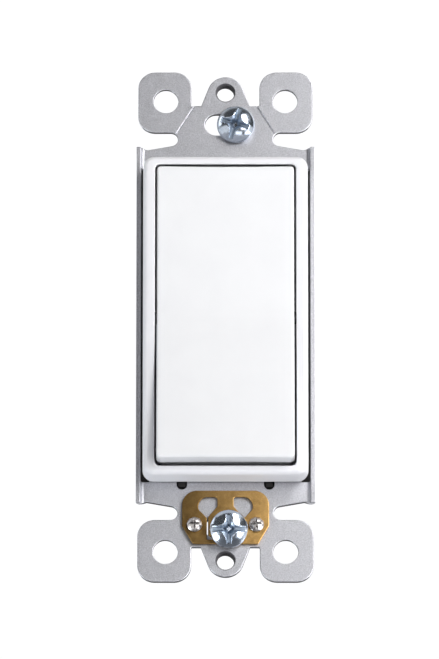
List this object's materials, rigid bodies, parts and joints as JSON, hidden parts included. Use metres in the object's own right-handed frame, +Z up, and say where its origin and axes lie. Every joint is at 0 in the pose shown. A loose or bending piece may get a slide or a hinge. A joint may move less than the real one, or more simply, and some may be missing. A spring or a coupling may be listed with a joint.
{
  "type": "rocker wall switch",
  "caption": "Decorator rocker wall switch: a wide paddle in a moulded frame on a steel strap with break-off ears, self-grounding clip and side-wired single-pole mechanism.",
  "frame": {"origin": "centre of the strap's back plane, which lies against the wall box", "axes": "+X to the right of the front, +Y into the wall, +Z up; the paddle faces -Y"},
  "size_m": [0.0352, 0.0345, 0.1054],
  "materials": {
    "galvanised_steel": "satin galvanised sheet",
    "white_plastic": "smooth moulded, satin",
    "white_plastic_gloss": "smooth moulded, soft gloss",
    "acetal": "natural, slightly translucent",
    "spring_steel": "bright drawn",
    "copper_alloy": "rolled strip",
    "silver_contact": "bright",
    "black_plastic": "fine moulded texture",
    "steel_screw": "zinc plated",
    "brass_plate": "rolled sheet",
    "brass_screw": "bright turned",
    "nickel_plate": "bright nickel",
    "green_screw": "green dyed plating",
    "brass_clip": "dull rolled sheet",
    "blue_zinc": "bright blue-tinted zinc",
    "fibre": "pressed fibre"
  },
  "bodies": {
    "switch_body": {"mounting_strap": "galvanised_steel", "front_frame": "white_plastic", "rear_housing": "black_plastic", "assembly_screw_top_right": "steel_screw", "assembly_screw_bottom_right": "steel_screw", "assembly_screw_top_left": "steel_screw", "assembly_screw_bottom_left": "steel_screw", "load_terminal": "brass_plate", "line_terminal": "brass_plate", "fixed_contact": "silver_contact", "push_in_clip_load": "spring_steel", "push_in_clip_line": "spring_steel", "ground_clip": "brass_clip", "clip_rivet_left": "nickel_plate", "clip_rivet_right": "nickel_plate"},
    "rocker": {"rocker_paddle": "white_plastic_gloss", "contact_spring": "spring_steel"},
    "plunger": {"actuator_plunger": "acetal"},
    "see_saw": {"contact_arm": "copper_alloy", "moving_contact": "silver_contact"},
    "load_washer": {"clamp_washer_load": "nickel_plate"},
    "load_screw": {"terminal_screw_load": "brass_screw"},
    "line_washer": {"clamp_washer_line": "nickel_plate"},
    "line_screw": {"terminal_screw_line": "brass_screw"},
    "ground_washer_body": {"ground_washer": "brass_plate"},
    "ground_screw_body": {"ground_screw": "green_screw"},
    "top_retainer": {"screw_retainer_top": "fibre"},
    "top_screw": {"mounting_screw_top": "blue_zinc"},
    "bottom_retainer": {"screw_retainer_bottom": "fibre"},
    "bottom_screw": {"mounting_screw_bottom": "blue_zinc"}
  },
  "joints": [
    {"name": "rocker_tilt", "type": "hinge", "parent": "switch_body", "child": "rocker", "pos_m": [0, -0.0053, 0], "axis": [1, 0, 0], "range_deg": [0, 5.8]},
    {"name": "plunger_slide", "type": "slide", "parent": "rocker", "child": "plunger", "axis": [0, -0.9987, 0.0506], "range_m": [0, 0.0008], "stiffness_N_per_m": 300, "springref_m": -0.002},
    {"name": "see_saw_tilt", "type": "hinge", "parent": "switch_body", "child": "see_saw", "pos_m": [0, 0.0109, 0], "axis": [1, 0, 0], "range_deg": [-10, 0]},
    {"name": "load_washer_lift", "type": "slide", "parent": "switch_body", "child": "load_washer", "axis": [1, 0, 0], "range_m": [0, 0.00317]},
    {"name": "load_screw_turn", "type": "hinge", "parent": "load_washer", "child": "load_screw", "pos_m": [0.0144, 0.0145, 0.013], "axis": [1, 0, 0], "range_deg": [0, 1440]},
    {"name": "line_washer_lift", "type": "slide", "parent": "switch_body", "child": "line_washer", "axis": [1, 0, 0], "range_m": [0, 0.00317]},
    {"name": "line_screw_turn", "type": "hinge", "parent": "line_washer", "child": "line_screw", "pos_m": [0.0144, 0.0145, -0.013], "axis": [1, 0, 0], "range_deg": [0, 1440]},
    {"name": "ground_washer_lift", "type": "slide", "parent": "switch_body", "child": "ground_washer_body", "axis": [0, 0, -1], "range_m": [0, 0.00238]},
    {"name": "ground_screw_turn", "type": "hinge", "parent": "ground_washer_body", "child": "ground_screw_body", "pos_m": [-0.0036, 0.01, -0.0306], "axis": [0, 0, -1], "range_deg": [0, 1080]},
    {"name": "top_screw_slide", "type": "slide", "parent": "switch_body", "child": "top_retainer", "axis": [1, 0, 0], "range_m": [-0.0041, 0]},
    {"name": "top_screw_turn", "type": "hinge", "parent": "top_retainer", "child": "top_screw", "pos_m": [0.0021, -0.0009, 0.04145], "axis": [-0.0872, -0.9907, -0.1041], "continuous": true},
    {"name": "bottom_screw_slide", "type": "slide", "parent": "switch_body", "child": "bottom_retainer", "axis": [1, 0, 0], "range_m": [-0.0013, 0]},
    {"name": "bottom_screw_turn", "type": "hinge", "parent": "bottom_retainer", "child": "bottom_screw", "pos_m": [0.00066, -0.00145, -0.04205], "axis": [0, -0.9511, -0.309], "continuous": true}
  ],
  "couplings": [
    {"joint": "see_saw_tilt", "follows": "rocker_tilt", "ratio": -1.7241},
    {"joint": "load_screw_turn", "follows": "load_washer_lift", "rad_per_m": 7915.8},
    {"joint": "line_screw_turn", "follows": "line_washer_lift", "rad_per_m": 7915.8},
    {"joint": "ground_screw_turn", "follows": "ground_washer_lift", "rad_per_m": 7915.8}
  ]
}
